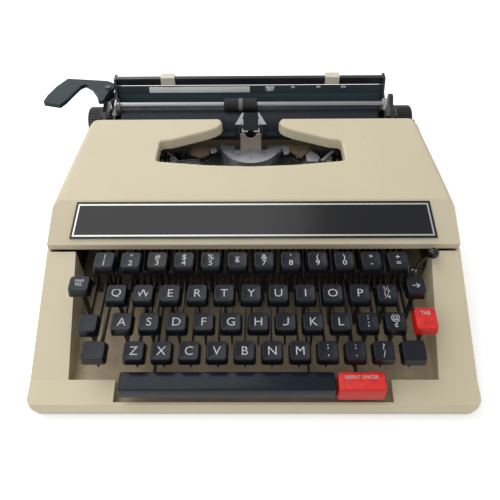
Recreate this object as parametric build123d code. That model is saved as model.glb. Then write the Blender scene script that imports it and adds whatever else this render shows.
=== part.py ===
from build123d import *
import math
import os

os.makedirs("parts", exist_ok=True)

# Portable manual typewriter. X runs to the typist's right, Y away from the typist, Z up.
# The origin is on the table, at the centre of the four foot screws. All sizes are in millimetres.

# Keyboard
key_pitch = 19.05
row_signs = ["1234567890-=", "qwertyuiop/", "asdfghjkl;@", "zxcvbnm,.?"]
row_middle_x = [-1.325, -0.95, 3.95, 3.925]
row_from_front = [87.0, 66.0, 48.5, 30.4]
row_z = [70.2, 59.4, 50.0, 41.8]
row_tilt = [1.0, 3.0, 5.0, 7.0]
cap_width = 15.8
cap_depth = 15.8
cap_height = 6.4
cap_taper = 1.1
cap_corner = 2.4
dish_radius = 30.0
dish_depth = 0.9
stem_width = 5.0
stem_in_cap = 3.2
lever_thick = 1.2
lever_height = 6.0
lever_front_z = 25.0
bar_lever_z = 17.6
lever_rear_z = 38.0
rod_radius = 2.0
rod_clearance = 0.08
eye_radius = 5.0
comb_thick = 1.5
comb_top_z = 32.0
comb_slot_floor = 9.0
comb_clearance = 0.35
space_top_z = 31.2
space_depth = 15.4
space_from_front = 4.6
space_skirt_z = 22.0
repeat_skirt_z = 19.0
space_gap = 0.8
shift_bar_z = 26.0
shift_bar_radius = 2.0
ball_radius = 4.2
selector_rod = 1.1
row_first_x = [
    middle - key_pitch * (len(signs) - 1) / 2 for middle, signs in zip(row_middle_x, row_signs)
]
space_bar_x = [row_first_x[3] - 10.2, row_first_x[3] + 7 * key_pitch + 5.05]
repeat_x = [space_bar_x[1] + space_gap, row_first_x[3] + 9 * key_pitch + 1.15]
space_arm_x = [
    (row_first_x[2] + row_first_x[0] + 3 * key_pitch) / 2,
    (row_first_x[1] + row_first_x[2]) / 2 + 7 * key_pitch,
]
repeat_arm_x = (row_first_x[3] + row_first_x[1] + 17 * key_pitch) / 2

# Lower case, built round the keyboard
case_depth = 284.0
case_corner = 9.0
case_bottom = 4.0
case_wall = 2.6
rim_height = 5.0
rim_inset = 1.2
front_lip_z = 13.0
front_bead_z = 9.5
front_bead = 3.6
front_lip = 1.8
ledge_end_z = 16.5
seam_z = 51.5
rear_wall_z = 45.0
well_wall = 2.2
well_side_gap = 7.175
well_side_border = 27.0
well_flare = 5.0
notch_gap = 5.5
foot_radius = 8.0
boss_radius = 4.2
boss_height = 8.0
foot_inset = 7.6
bolt_radius = 2.0
well_front_half = 6.5 * key_pitch + well_side_gap
well_back_half = well_front_half + well_flare
case_width = 2 * (well_front_half + well_side_border)
notch_half = notch_gap - space_bar_x[0]
foot_x = well_front_half + foot_inset
back_y = 140.0
front_y = back_y - case_depth
foot_y = back_y - 24.0
row_y = [front_y + distance for distance in row_from_front]
front_lip_y = front_y + front_bead
ledge_end_y = front_y + 21.0
well_back_y = front_y + 111.0
comb_y = well_back_y - 5.0
bend_front_y = well_back_y + 11.0

# Carriage rail at the back of the case
rail_width = 10.0
rail_top_z = 59.8
rail_height = 7.8
rail_y = back_y - 23.0
rail_base_z = rail_top_z - rail_height
bed_gap = 0.2
bed_lip = 1.8
bed_lip_height = 3.4
bed_height = 6.0
bed_top_z = rail_top_z + bed_gap + bed_height
bed_lip_z = rail_top_z - bed_lip_height

# Platen, whose place sets the type basket and the cover's rear edge
platen_radius = 16.0
platen_y = rail_y - 24.0
platen_z = 80.0
platen_half = 108.5
fulcrum_y = platen_y + 3.0
bend_rear_y = fulcrum_y - 54.0
shift_bar_y = fulcrum_y - 26.0

# Top cover
cover_gap = 0.4
cover_front_y = well_back_y + 2.0
cover_front_top_z = seam_z + 5.5
ridge_y = cover_front_y + 29.0
ridge_z = cover_front_top_z + 19.5
cover_back_y = platen_y - platen_radius - 3.0
cover_back_z = ridge_z + 19.3
cover_seam_half = case_width / 2 - 0.8
ridge_half = case_width / 2 - 4.5
cover_back_half = case_width / 2 - 24.7
cover_wall = 2.5
cover_round = 5.0
cover_corner = 5.5
mouth_round = 1.6
seam_end_y = cover_back_y + 2.0
peg_radius = 2.0
peg_clearance = 0.06
panel_margin = 4.6
panel_length = 28.5
panel_bottom_half = case_width / 2 - 18.0
panel_top_half = case_width / 2 - 23.2
panel_thickness = 1.4

# Main frame
frame_x = case_width / 2 - 14.0
frame_plate = 2.0
frame_front_y = well_back_y + 1.0
frame_back_y = rail_y + 17.0
rail_half = frame_x + 6.0
selector_ball = (frame_x - 9.0, well_back_y - 7.0, 56.8)
selector_knee = (frame_x - 15.5, well_back_y - 5.5, 45.0)
selector_pivot = (frame_x - 15.5, well_back_y + 3.0, 24.0)
selector_pin = 1.5
pin_clearance = 0.06

# Type basket
basket_x = -1.8
basket_y = platen_y - platen_radius - 0.5
segment_inner = 22.0
segment_outer = 46.0
segment_top_z = 60.0
segment_height = 12.0
segment_back_y = basket_y - 3.0
disc_radius = 26.5
disc_height = 9.0
disc_notch = (9.2, 13.9, 6.0)
type_bar_count = 44
type_bar_span = 164.0
type_bar_thick = 0.9
type_bar_z = segment_top_z - 5.0
type_bar_height = 4.0
type_bar_start = 30.0
type_bar_end = 66.0
type_slot = 1.2
slug_width = 2.6
slug_depth = 5.0
slug_height = 11.0
guide_half = 8.7
guide_y = platen_y - platen_radius - 8.7
guide_thick = 1.2
guide_top_z = platen_z + 4.5
guide_notch = 4.6
finger_tilt = 30.0
finger_reach = platen_radius + 2.2
finger_gap = 0.1
finger_thick = 0.8
vibrator_half = 6.1
ribbon_plate = 1.5
ribbon_plate_gap = 2.5
disc_top_z = segment_top_z + disc_height

# Opening over the type basket
neck_half = 23.5
mouth_half = 75.5
mouth_front_y = basket_y - 47.5
mouth_back_y = basket_y - 23.5
neck_front_y = basket_y - 8.5
mouth_lip = 2.2
mouth_lip_depth = 9.0

# Ribbon spools
spool_x = frame_x - 36.0
spool_y = basket_y - 40.5
spool_floor_z = 60.0
spool_height = 16.0
spool_radius = 22.0
spool_hub = 7.0
spool_post = 2.5
spool_clearance = 0.08
ribbon_full = 18.0
ribbon_part = 12.0
cup_gap = 1.6
cup_wall = 1.4
cup_height = 6.0

# Bell
bell_x = 100.0
bell_y = rail_y
bell_z = 24.0
bell_radius = 12.0

# Carriage, which stands a little to the left of the middle
carriage_x = -3.0
shaft_radius = 4.0
shaft_clearance = 0.06
knob_radius = 13.0
left_knob = (128.5, 138.5)
right_knob = (125.7, 139.0)
knob_round = 3.0
ratchet_radius = 11.0
ratchet_x = 118.6
ratchet_width = 2.2
ratchet_teeth = 20
end_plate = 2.0
end_plate_inner = 114.5
left_bracket = (123.0, 126.5)
right_bracket = (120.5, 124.0)
feed_radius = 5.0
feed_shaft = 2.0
feed_angle = 30.0
feed_gap = 0.15
margin_rail_y = rail_y - 2.0
margin_rail_width = 4.0
margin_rail_z = platen_z + 23.4
margin_rail_top = platen_z + 29.7
table_thick = 1.2
table_y = platen_y + platen_radius + 1.3
stop_width = 12.0
stop_x = [carriage_x - 70.0, carriage_x + 71.0]
stop_wall = 1.5
stop_gap = 0.25
bail_angle = 76.5
bail_gap = 0.2
bail_roller_radius = 5.0
bail_roller_x = -10.2
bail_roller_half = 13.8
bail_rod = 2.2
bail_arm_x = end_plate_inner - 3.1
bail_arm_thick = 1.4
bail_pivot_y = platen_y + 11.0
bail_pivot_z = platen_z + 4.0
bail_pin = 1.6
lever_pivot_x = carriage_x - end_plate_inner - 7.0
lever_pivot_y = platen_y + 15.0
lever_plane_z = platen_z + 21.0
return_lever_thick = 3.5
return_lever_round = 1.6
lever_pin = 2.4
rack_module = 1.0
rack_y = rail_y + rail_width / 2 + bed_gap + bed_lip + 2.0
rack_width = 4.0
pinion_teeth = 12
wheel_radius = 11.0
wheel_teeth = 24
wheel_width = 1.6
axle_radius = 1.5
drum_x = -spool_x
drum_z = 32.0
drum_radius = 14.0
drum_width = 7.0
drum_y = rail_y + rail_width / 2 + 4.0
drum_shaft = 2.0


def block(x0, x1, y0, y1, z0, z1):
    centre = Pos((x0 + x1) / 2, (y0 + y1) / 2, (z0 + z1) / 2)
    return centre * Box(x1 - x0, y1 - y0, z1 - z0)


def side_plate(points, x0, x1):
    """A flat plate across X, from its outline as (y, z) points."""
    face = make_face(Polyline(*points, close=True))
    return extrude(Plane.YZ.offset(x0) * face, amount=x1 - x0)


def plan_plate(points, z0, z1):
    """A flat plate lying level, from its outline as (x, y) points."""
    face = make_face(Polyline(*points, close=True))
    return extrude(Pos(0, 0, z0) * face, amount=z1 - z0)


def rod_x(radius, x0, x1, y, z):
    return Pos((x0 + x1) / 2, y, z) * Rot(0, 90, 0) * Cylinder(radius, x1 - x0)


def rod_y(radius, x, y0, y1, z):
    return Pos(x, (y0 + y1) / 2, z) * Rot(90, 0, 0) * Cylinder(radius, y1 - y0)


def rod_z(radius, x, y, z0, z1):
    return Pos(x, y, (z0 + z1) / 2) * Cylinder(radius, z1 - z0)


def rod_between(radius, start, end):
    line = Line(start, end)
    return sweep(Plane(line @ 0, z_dir=line % 0) * Circle(radius), path=line)


def save(name, pieces):
    """Write the separate solids of one sub-part to its STEP file."""
    solids = [solid for piece in pieces for solid in piece.solids()]
    export_step(Compound(solids), f"parts/{name}.step")


def case_top_z(y):
    """Height of the lower case's upper edge at a distance from the front."""
    heights = [
        (front_y, front_bead_z),
        (front_lip_y, front_lip_z),
        (ledge_end_y, ledge_end_z),
        (well_back_y, seam_z),
        (seam_end_y, seam_z),
        (back_y, rear_wall_z),
    ]
    for (y0, z0), (y1, z1) in zip(heights, heights[1:]):
        if y <= y1:
            return z0 + (z1 - z0) * (y - y0) / (y1 - y0)
    return rear_wall_z


def case_profile(drop, overshoot):
    """Side outline of the case, with its top lowered by drop."""
    front = front_y - overshoot
    back = back_y + overshoot
    stations = [front, front_lip_y, ledge_end_y, well_back_y, seam_end_y, back]
    top = [(y, case_top_z(y) - drop) for y in stations]
    return [(back, 0), (front, 0)] + top


def well_outline(grow):
    """Plan outline of the keyboard well, wider all round by grow."""
    half = [
        (notch_half + grow, front_lip_y + front_lip),
        (notch_half + grow, ledge_end_y - grow),
        (well_front_half + grow, ledge_end_y - grow),
        (well_back_half + grow, well_back_y),
        (well_back_half + grow, well_back_y + case_wall + 1),
    ]
    return half + [(-x, y) for x, y in reversed(half)]


def lower_case():
    """The moulded shell with its keyboard well, and the steel bottom plate that closes it."""
    middle = Pos(0, (front_y + back_y) / 2, 0)
    plan = middle * RectangleRounded(case_width, case_depth, case_corner)
    rim_plan = offset(plan, amount=-rim_inset)
    inner_plan = offset(plan, amount=-case_wall)
    rim_top = case_bottom + rim_height
    floor = case_bottom + case_wall
    outer = extrude(Pos(0, 0, rim_top) * plan, amount=seam_z)
    outer += extrude(Pos(0, 0, case_bottom) * rim_plan, amount=rim_height)
    half = case_width / 2
    outer &= side_plate(case_profile(0, 1), -half, half)
    inner = extrude(Pos(0, 0, case_bottom) * inner_plan, amount=seam_z + case_wall)
    under_skin = side_plate(case_profile(case_wall, 1), -half, half)
    open_tray = block(-half, half, well_back_y, back_y, 0, 2 * seam_z)
    cavity = (inner & under_skin) + (inner & open_tray)
    well = plan_plate(well_outline(0), floor, 2 * seam_z)
    well_walls = plan_plate(well_outline(well_wall), floor, 2 * seam_z) - well
    well_walls &= side_plate(case_profile(case_wall / 2, 0), -half, half)
    keep_clear = block(-half, half, well_back_y + 0.5, case_depth, 0, 2 * seam_z)
    shell = outer - cavity - well + (well_walls - keep_clear)
    plate = extrude(Pos(0, 0, case_bottom) * inner_plan, amount=case_wall)
    for x in (-foot_x, foot_x):
        for y in (-foot_y, foot_y):
            plate += rod_z(boss_radius, x, y, case_bottom, floor + boss_height)
            plate -= rod_z(bolt_radius, x, y, 0, floor + boss_height - 2)
    return [shell - plate, plate]


def rubber_feet():
    feet = []
    for x in (-foot_x, foot_x):
        for y in (-foot_y, foot_y):
            foot = rod_z(foot_radius, x, y, 0, case_bottom)
            foot = chamfer(foot.faces().sort_by(Axis.Z)[0].edges(), 1.0)
            feet.append(foot - rod_z(bolt_radius, x, y, -1, case_bottom + 1))
    return feet


def cover_section(y, bottom_half, top_half, bottom_z, top_z):
    outline = Polyline(
        (-bottom_half, y, bottom_z),
        (bottom_half, y, bottom_z),
        (top_half, y, top_z),
        (-top_half, y, top_z),
        close=True,
    )
    return make_face(outline)


def mouth_outline(grow):
    """Plan outline of the opening over the type basket, wider all round by grow."""
    back = cover_back_y + 5
    right = [
        (0, mouth_front_y - grow),
        (mouth_half * 0.45, mouth_front_y + 1.2 - grow),
        (mouth_half - 4, mouth_front_y + 4.6 - grow),
        (mouth_half - 0.5 + grow * 0.8, mouth_front_y + 5.4 - grow * 0.6),
        (mouth_half + grow, mouth_front_y + 7),
        (mouth_half - 1.6 + grow, mouth_back_y - 1.5),
        (mouth_half - 3.5 + grow * 0.6, mouth_back_y + grow * 0.7),
        (mouth_half - 11, mouth_back_y + 0.8 + grow),
        (neck_half + 12, neck_front_y - 5.5 + grow),
        (neck_half + 5, neck_front_y - 2.6 + grow),
        (neck_half + 1.6 + grow * 0.5, neck_front_y + grow * 0.8),
        (neck_half + 0.4 + grow, neck_front_y + 2.6),
        (neck_half + grow, cover_back_y - 2.6),
        (neck_half + 1.2 + grow, cover_back_y - 1.0),
        (neck_half + 4.0 + grow, cover_back_y + 0.2),
        (neck_half + 4.0 + grow, back),
    ]
    left = [(-x, y) for x, y in reversed(right[1:])]
    return [(basket_x + x, y) for x, y in right + left]


def cover_body(inset, reach=0.0):
    """The cover's outer form, or its hollow when inset is the wall; reach carries its slopes further back."""
    front_slope = (ridge_z - cover_front_top_z) / (ridge_y - cover_front_y)
    top_slope = (cover_back_z - ridge_z) / (cover_back_y - ridge_y)
    front_drop = inset * math.hypot(1, front_slope)
    top_drop = inset * math.hypot(1, top_slope)
    ridge_shift = (front_drop - top_drop) / (front_slope - top_slope)
    side = inset * 1.14
    bottom = seam_z + cover_gap - inset
    back = cover_back_y + inset + reach
    front = cover_front_y + inset
    front_z = cover_front_top_z + front_slope * inset - front_drop
    ridge_top = ridge_z + ridge_shift * top_slope - top_drop
    back_top = cover_back_z - top_drop + (inset + reach) * top_slope
    taper = (ridge_half - cover_back_half) / (cover_back_y - ridge_y)
    back_half = cover_back_half - side - taper * reach
    seam_half = cover_seam_half - side
    sections = [
        cover_section(front, seam_half, seam_half, bottom, front_z),
        cover_section(ridge_y + ridge_shift, seam_half, ridge_half - side, bottom, ridge_top),
        cover_section(back, seam_half, back_half, bottom, back_top),
    ]
    return loft(sections, ruled=True)


def cover_pegs():
    """Pegs under the cover that drop into the frame's brackets, as (x, y) places."""
    return [(side * (frame_x + 6.0), y) for side in (-1, 1) for y in (ridge_y - 13.0, basket_y - 16.5)]


def on_top(point):
    """Whether a point lies on the cover's top face, behind the ridge."""
    slope = (cover_back_z - ridge_z) / (cover_back_y - ridge_y)
    height = ridge_z + (point.Y - ridge_y) * slope
    return point.Y > ridge_y + 1 and abs(point.Z - height) < 0.05


def top_cover():
    long_body = cover_body(0, 30.0)
    side_edges = [
        e
        for e in long_body.edges()
        if e.length > 50 and abs(e.center().X) > 100 and e.center().Z > seam_z + 12
        and e.center().Y > ridge_y + 10
    ]
    corner_body = cover_body(0)
    corner_edges = [
        e
        for e in corner_body.edges()
        if abs(e.center().Y - cover_back_y) < 1 and abs(e.center().X) > 100
        and e.bounding_box().size.Z > 20
    ]
    body = fillet(side_edges, cover_round) & fillet(corner_edges, cover_corner)
    mouth = plan_plate(mouth_outline(0), seam_z - 5, cover_back_z + 10)
    lip_ring = plan_plate(mouth_outline(mouth_lip), seam_z - 5, cover_back_z + 10) - mouth
    lip = lip_ring & (body - Pos(0, 0, -mouth_lip_depth) * cover_body(0))
    lip -= block(-200, 200, cover_back_y - 0.01, cover_back_y + 20, 0, 200)
    cover = body - cover_body(cover_wall) - mouth + lip
    rim_edges = [
        e
        for e in cover.edges()
        if on_top(e.center()) and abs(e.center().X - basket_x) < mouth_half + 1
        and e.center().Y < cover_back_y - 0.5 and e.length < 60
    ]
    cover = fillet(rim_edges, mouth_round)
    for x, y in cover_pegs():
        x0, x1 = sorted((x - math.copysign(3, x), math.copysign(cover_seam_half, x)))
        cover += block(x0, x1, y - 4, y + 4, seam_z + 1.5, seam_z + 5.5) & cover_body(cover_wall / 2)
        cover += rod_z(peg_radius, x, y, seam_z - 13.5, seam_z + 2)
    return [cover]


def name_panel():
    rise = ridge_z - cover_front_top_z
    run = ridge_y - cover_front_y
    angle = math.atan2(rise, run)
    front_face = Plane(
        origin=(0, cover_front_y, cover_front_top_z),
        x_dir=(1, 0, 0),
        z_dir=(0, -math.sin(angle), math.cos(angle)),
    )
    outline = Polyline(
        (-panel_bottom_half, panel_margin),
        (panel_bottom_half, panel_margin),
        (panel_top_half, panel_margin + panel_length),
        (-panel_top_half, panel_margin + panel_length),
        close=True,
    )
    return [extrude(front_face * make_face(outline), amount=panel_thickness)]


def key_cap(width, depth, height):
    """One dished key top with tapered sides, standing on Z = 0."""
    bottom = RectangleRounded(width, depth, cap_corner)
    top = Pos(0, 0, height) * RectangleRounded(
        width - 2 * cap_taper, depth - 2 * cap_taper, cap_corner
    )
    dish = Pos(0, 0, height + dish_radius - dish_depth) * Sphere(dish_radius)
    return loft([bottom, top]) - dish


def lever(x, y, front_z=lever_front_z):
    """A key lever, which swings on the rod at the back."""
    low = lever_height / 2
    outline = [
        (y - stem_width / 2, front_z - low),
        (bend_front_y, front_z - low),
        (bend_rear_y, lever_rear_z - low),
        (fulcrum_y, lever_rear_z - low),
        (fulcrum_y, lever_rear_z + low),
        (bend_rear_y - 2, lever_rear_z + low),
        (bend_front_y - 2, front_z + low),
        (y - stem_width / 2, front_z + low),
    ]
    bar = side_plate(outline, x - lever_thick / 2, x + lever_thick / 2)
    bar += rod_x(eye_radius, x - lever_thick / 2, x + lever_thick / 2, fulcrum_y, lever_rear_z)
    bore = rod_radius + rod_clearance
    return bar - rod_x(bore, x - lever_thick, x + lever_thick, fulcrum_y, lever_rear_z)


def stem(x, y, top_z, front_z=lever_front_z):
    """The upright strip welded on a lever's front end, which the key top is pressed on."""
    return block(
        x - lever_thick / 2, x + lever_thick / 2,
        y - stem_width / 2, y + stem_width / 2,
        front_z + lever_height / 2, top_z,
    )


def key(x, y, top_z, tilt, width=cap_width, depth=cap_depth):
    """A key top, its stem and its lever."""
    upright = stem(x, y, top_z - cap_height + stem_in_cap)
    cap = Pos(x, y, top_z - cap_height) * Rot(tilt, 0, 0) * key_cap(width, depth, cap_height)
    return [cap - upright, upright, lever(x, y)]


function_keys = {
    "margin_release_key": (row_first_x[1] - 26.7, front_y + 72.0, 62.5, 3.0, 16.0, 14.5),
    "shift_lock_key": (row_first_x[2] - 24.0, front_y + 48.4, 48.6, 5.0, 15.0, 15.6),
    "backspace_key": (row_first_x[1] + 10 * key_pitch + 20.6, front_y + 70.6, 61.5, 3.0, 14.5, 15.0),
    "tab_key": (row_first_x[2] + 10 * key_pitch + 21.2, front_y + 50.4, 50.6, 5.0, 16.6, 18.4),
}
shift_key_places = [
    (row_first_x[3] - 27.8, front_y + 30.6, 41.8, 7.0, 17.6, 15.8),
    (row_first_x[3] + 9 * key_pitch + 20.55, front_y + 30.4, 41.8, 7.0, 17.6, 16.8),
]


def lever_lanes():
    """The X place of every lever that runs through the comb."""
    lanes = []
    for first, signs in zip(row_first_x, row_signs):
        lanes += [first + key_pitch * place for place in range(len(signs))]
    lanes += [place[0] for place in function_keys.values()]
    lanes += [place[0] for place in shift_key_places]
    return lanes + space_arm_x + [repeat_arm_x]


def bar_key(x0, x1, skirt_z, arms):
    """The space bar or its short neighbour, with the stems and levers that carry it."""
    width = x1 - x0
    middle_y = front_y + space_from_front + space_depth / 2
    height = space_top_z - skirt_z
    bottom = RectangleRounded(width, space_depth, cap_corner)
    top = Pos(0, 0, height) * RectangleRounded(width - 1.2, space_depth - 1.6, cap_corner)
    cap = Pos((x0 + x1) / 2, middle_y, skirt_z) * loft([bottom, top])
    cap = fillet(cap.faces().sort_by(Axis.Z)[-1].edges(), 1.2)
    pieces = []
    for x in arms:
        pieces += [stem(x, middle_y, space_top_z - 3, bar_lever_z), lever(x, middle_y, bar_lever_z)]
    for piece in pieces:
        cap -= piece
    return [cap] + pieces


def shift_keys():
    """Both shift keys on their levers, joined by the cross bar that lifts the basket."""
    pieces = []
    left = shift_key_places[0][0] - 3
    right = shift_key_places[1][0] + 3
    cross = rod_x(shift_bar_radius, left, right, shift_bar_y, shift_bar_z)
    for place in shift_key_places:
        x = place[0]
        leg = block(
            x - lever_thick / 2, x + lever_thick / 2,
            shift_bar_y - 4, shift_bar_y + 4,
            shift_bar_z - 4, lever_rear_z - lever_height / 2,
        )
        pieces += key(*place) + [leg - cross]
    return pieces + [cross]


def key_comb():
    """The slotted guide plate that keeps the levers apart."""
    floor = case_bottom + case_wall
    lanes = lever_lanes()
    reach = max(abs(x) for x in lanes) + 4
    comb = block(-reach, reach, comb_y, comb_y + comb_thick, floor, comb_top_z)
    half_slot = lever_thick / 2 + comb_clearance
    for x in lanes:
        comb -= block(
            x - half_slot, x + half_slot,
            comb_y - 1, comb_y + comb_thick + 1,
            comb_slot_floor, comb_top_z + 1,
        )
    return [comb]


def colour_selector():
    ball = Pos(*selector_ball) * Sphere(ball_radius)
    x, y, z = selector_pivot
    stem = rod_between(selector_rod, selector_ball, selector_knee)
    stem += Pos(*selector_knee) * Sphere(selector_rod)
    stem += rod_between(selector_rod, selector_knee, selector_pivot)
    hub = rod_x(3.2, x - 2, x + 2, y, z)
    return [ball - stem, stem + hub - rod_x(selector_pin + pin_clearance, x - 3, x + 3, y, z)]


def segment():
    """The slotted half ring that the type bars turn in, and the disc on top of it."""
    centre = Pos(basket_x, basket_y, segment_top_z - segment_height / 2)
    ring = centre * (Cylinder(segment_outer, segment_height) - Cylinder(segment_inner, segment_height))
    disc = Pos(basket_x, basket_y, segment_top_z + disc_height / 2) * Cylinder(disc_radius, disc_height)
    reach = 2 * segment_outer
    front = block(basket_x - reach, basket_x + reach, basket_y - reach, segment_back_y, 0, 200)
    whole = (ring + disc) & front
    for angle in type_bar_angles():
        whole -= (
            Pos(basket_x, basket_y, 0)
            * Rot(0, 0, angle)
            * block(
                disc_radius + 0.5, segment_outer + 2,
                -type_slot / 2, type_slot / 2,
                type_bar_z - type_bar_height, segment_top_z + 1,
            )
        )
    near, far, depth = disc_notch
    for side in (-1, 1):
        x0, x1 = sorted((basket_x + side * near, basket_x + side * far))
        whole -= block(x0, x1, segment_back_y - depth, segment_back_y + 1, segment_top_z + 1, disc_top_z + 1)
        whole -= rod_z(1.5, basket_x + side * 11.4, basket_y - 16.0, disc_top_z - 3, disc_top_z + 1)
    return [whole]


def type_bar_angles():
    step = type_bar_span / (type_bar_count - 1)
    first = 180 + (180 - type_bar_span) / 2
    return [first + step * index for index in range(type_bar_count)]


def type_bars():
    """The fan of type bars at rest, each with its type slug."""
    bars = []
    for angle in type_bar_angles():
        bar = block(
            type_bar_start, type_bar_end,
            -type_bar_thick / 2, type_bar_thick / 2,
            type_bar_z - type_bar_height / 2, type_bar_z + type_bar_height / 2,
        )
        slug = block(
            type_bar_end, type_bar_end + slug_depth,
            -slug_width / 2, slug_width / 2,
            type_bar_z - slug_height / 2, type_bar_z + slug_height / 2,
        )
        bars.append(Pos(basket_x, basket_y, 0) * Rot(0, 0, angle) * (bar + slug))
    return bars


def finger_plane():
    """The slanting plane just in front of the platen, with local Y up along it."""
    tilt = math.radians(finger_tilt)
    return Plane(
        origin=(
            basket_x,
            platen_y - finger_reach * math.cos(tilt),
            platen_z + finger_reach * math.sin(tilt),
        ),
        x_dir=(1, 0, 0),
        z_dir=(0, -math.cos(tilt), math.sin(tilt)),
    )


def type_guide():
    """The notched guide in front of the platen, its two card fingers, and the ribbon guide plates."""
    back = guide_y + guide_thick
    guide = block(
        basket_x - guide_half, basket_x + guide_half, guide_y, back, disc_top_z, guide_top_z,
    )
    guide -= rod_y(guide_notch, basket_x, guide_y - 1, back + 1, guide_top_z)
    bracket = block(
        basket_x - guide_half, basket_x + guide_half, back, back + 1.5, disc_top_z, disc_top_z + 6,
    )
    plane = finger_plane()
    guide += bracket
    for side in (-1, 1):
        slant = [(side * 5.6, 8.8), (side * 7.3, 8.8), (side * 13.3, -0.9), (side * 8.2, -0.9)]
        strip = [(side * 6.3, 3.5), (side * 7.5, 3.5), (side * 7.5, -15.8), (side * 6.3, -15.8)]
        lug = [(side * 6.4, -6.0), (side * 2.6, -6.0), (side * 2.6, -7.1), (side * 6.4, -7.1)]
        for outline in (slant, strip, lug):
            face = make_face(Polyline(*outline, close=True))
            finger = extrude(plane * face, amount=-finger_thick)
            guide += finger.moved(Location(plane.z_dir * -finger_gap))
    outlines = {
        -1: [(-51.0, 3.1), (-37.1, 2.7), (-35.9, -8.3), (-44.0, -12.8), (-52.6, -8.2)],
        1: [(33.4, 4.4), (49.8, 4.2), (51.0, -3.4), (43.4, -13.4), (33.1, -3.2)],
    }
    plates = []
    plate_z = segment_top_z + ribbon_plate_gap
    for side, outline in outlines.items():
        points = [(basket_x + x, basket_y + y) for x, y in outline]
        plate = plan_plate(points, plate_z, plate_z + ribbon_plate)
        plates.append(plate + rod_z(2.0, basket_x + side * 41.0, basket_y - 7.5, segment_top_z, plate_z))
    return [guide] + plates


def ribbon_vibrator():
    """The slide that holds the inked ribbon up in front of the platen."""
    plane = finger_plane()
    band = make_face(Rectangle(2 * vibrator_half, 14.4).moved(Location((0, 1.4, 0))).edges())
    pieces = [extrude(plane * band, amount=0.5)]
    for side in (-1, 1):
        points = [
            (side * vibrator_half, -1.3), (side * 10.2, -1.3), (side * 10.2, -12.0),
            (side * 9.0, -12.0), (side * 9.0, -4.3), (side * vibrator_half, -4.3),
        ]
        pieces.append(extrude(plane * make_face(Polyline(*points, close=True)), amount=0.5))
    return pieces


def ribbon_spool(x, ribbon_radius):
    floor = spool_floor_z
    spool = rod_z(spool_hub, x, spool_y, floor, floor + spool_height)
    spool += rod_z(ribbon_radius, x, spool_y, floor + 1, floor + spool_height - 1)
    spool += rod_z(spool_radius, x, spool_y, floor, floor + 1)
    spool += rod_z(spool_radius, x, spool_y, floor + spool_height - 1, floor + spool_height)
    return [spool - rod_z(spool_post + spool_clearance, x, spool_y, floor - 1, floor + 20)]


def main_frame():
    """Side plates, cross members, fulcrum rod, carriage rail and spool cups, each its own solid."""
    floor = case_bottom + case_wall
    segment_base = segment_top_z - segment_height
    plate_top = rail_base_z - 10
    fulcrum = rod_x(rod_radius, -frame_x - frame_plate, frame_x + frame_plate, fulcrum_y, lever_rear_z)
    pin_x, pin_y, pin_z = selector_pivot
    selector_axle = rod_x(selector_pin, pin_x - 2.5, frame_x + frame_plate, pin_y, pin_z)
    plates = []
    for side in (-1, 1):
        x0, x1 = sorted((side * frame_x, side * (frame_x + frame_plate)))
        outline = [
            (frame_front_y, floor), (frame_back_y, floor), (frame_back_y, rail_base_z - 8),
            (rail_y + rail_width / 2, rail_base_z), (rail_y - rail_width / 2, rail_base_z),
            (frame_front_y, plate_top),
        ]
        plates.append(side_plate(outline, x0, x1) - fulcrum - selector_axle)
    bar_y = segment_back_y - 12.5
    members = [
        block(-frame_x, frame_x, frame_front_y, frame_front_y + 4, floor, floor + 2),
        block(-frame_x, frame_x, frame_back_y - 4, frame_back_y, floor, floor + 8),
        block(-frame_x, frame_x, bar_y, bar_y + 6, segment_base - 5, segment_base),
    ]
    rail = block(
        -rail_half, rail_half, rail_y - rail_width / 2, rail_y + rail_width / 2, rail_base_z, rail_top_z,
    )
    rail_back = rail_y + rail_width / 2
    pinion_z = rack_pitch_z() - pinion_teeth * rack_module / 2
    axle_bore = rod_y(axle_radius + pin_clearance, 0, rail_back - 4, rail_back + 4, pinion_z)
    bracket = block(-6, 6, rail_back, rail_back + 3, pinion_z - 5, bed_lip_z - 0.8) - axle_bore
    hanger = block(drum_x - 5, drum_x + 5, rail_back - 3, rail_back, drum_z - 5, rail_base_z)
    hanger -= rod_y(drum_shaft + pin_clearance, drum_x, rail_back - 4, rail_back + 1, drum_z)
    cups = []
    for side in (-1, 1):
        x = side * spool_x
        cup_radius = spool_radius + cup_gap
        cup_floor = spool_floor_z - 1 - cup_wall
        post = rod_z(spool_post, x, spool_y, cup_floor, spool_floor_z + spool_height + 1)
        collar = rod_z(spool_hub, x, spool_y, cup_floor + cup_wall, spool_floor_z - 0.1)
        cup = rod_z(cup_radius + cup_wall, x, spool_y, cup_floor, cup_floor + cup_height)
        cup -= rod_z(cup_radius, x, spool_y, cup_floor + cup_wall, cup_floor + cup_height + 1)
        outer_x = side * (frame_x + frame_plate)
        arm_x = sorted((x, outer_x))
        arm = block(arm_x[0], arm_x[1], spool_y - 5, spool_y + 5, cup_floor - 2, cup_floor)
        leg_x = sorted((side * frame_x, outer_x))
        leg = block(leg_x[0], leg_x[1], spool_y - 5, spool_y + 5, plate_top, cup_floor - 2)
        cups += [cup - post, collar - post, post, arm, leg - plates[0] - plates[1]]
    brackets = []
    for x, y in cover_pegs():
        x0, x1 = sorted((math.copysign(frame_x + frame_plate, x), x + math.copysign(3.5, x)))
        peg_bracket = block(x0, x1, y - 5, y + 5, seam_z - 12.5, seam_z - 9.5)
        brackets.append(peg_bracket - rod_z(peg_radius + peg_clearance, x, y, 0, 100))
    return plates + members + [fulcrum, selector_axle, rail - axle_bore, bracket, hanger] + cups + brackets


def rack_pitch_z():
    return bed_lip_z + 3.4


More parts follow.
